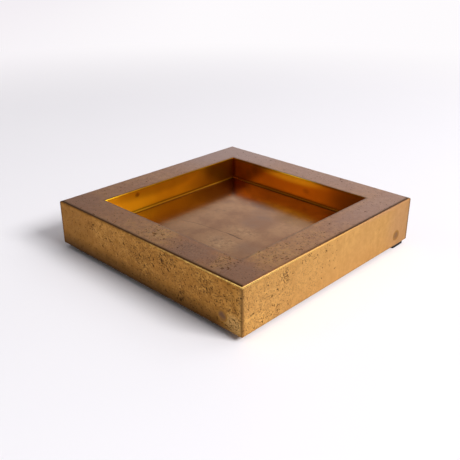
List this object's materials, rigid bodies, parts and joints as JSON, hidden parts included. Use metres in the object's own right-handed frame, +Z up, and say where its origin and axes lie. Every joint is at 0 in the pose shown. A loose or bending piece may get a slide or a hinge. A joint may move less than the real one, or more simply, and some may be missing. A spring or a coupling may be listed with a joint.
{
  "type": "square brass tray",
  "caption": "Square brass tray with straight sides, a wide flat rim and a shallow square recess, hollow underneath and closed by a base plate on small stick-on pads.",
  "frame": {"origin": "on the surface that the tray stands on, under the middle of the tray", "axes": "+Z up. The four sides face -Y, +X, +Y and -X. The front corner of the picture is +X and -Y, with the -Y side at its left and the +X side at its right"},
  "size_m": [0.2, 0.2, 0.0405],
  "materials": {
    "cast_brass": "satin cast brass, brown patina, fine dark casting pits",
    "floor_brass": "satin rolled brass, light patina and long fine scratches",
    "plate_brass": "plain rolled brass sheet, dull",
    "block_brass": "sawn brass bar",
    "pin_brass": "brass rod ground flush, tarnished darker than the side",
    "screw_brass": "turned brass screw",
    "black_rubber": "matt black rubber"
  },
  "bodies": {
    "root": {"cast_frame": "cast_brass", "floor_plate": "floor_brass", "base_plate": "plate_brass", "corner_block_front": "block_brass", "corner_block_right": "block_brass", "corner_block_back": "block_brass", "corner_block_left": "block_brass", "flush_pin_front": "pin_brass", "flush_pin_right": "pin_brass", "flush_pin_back": "pin_brass", "flush_pin_left": "pin_brass", "base_screw_front": "screw_brass", "base_screw_right": "screw_brass", "base_screw_back": "screw_brass", "base_screw_left": "screw_brass", "floor_screw_1": "screw_brass", "floor_screw_2": "screw_brass", "floor_screw_3": "screw_brass", "floor_screw_4": "screw_brass", "floor_screw_5": "screw_brass", "floor_screw_6": "screw_brass", "floor_screw_7": "screw_brass", "floor_screw_8": "screw_brass", "foot_pad_front": "black_rubber", "foot_pad_right": "black_rubber", "foot_pad_back": "black_rubber", "foot_pad_left": "black_rubber"}
  },
  "joints": []
}
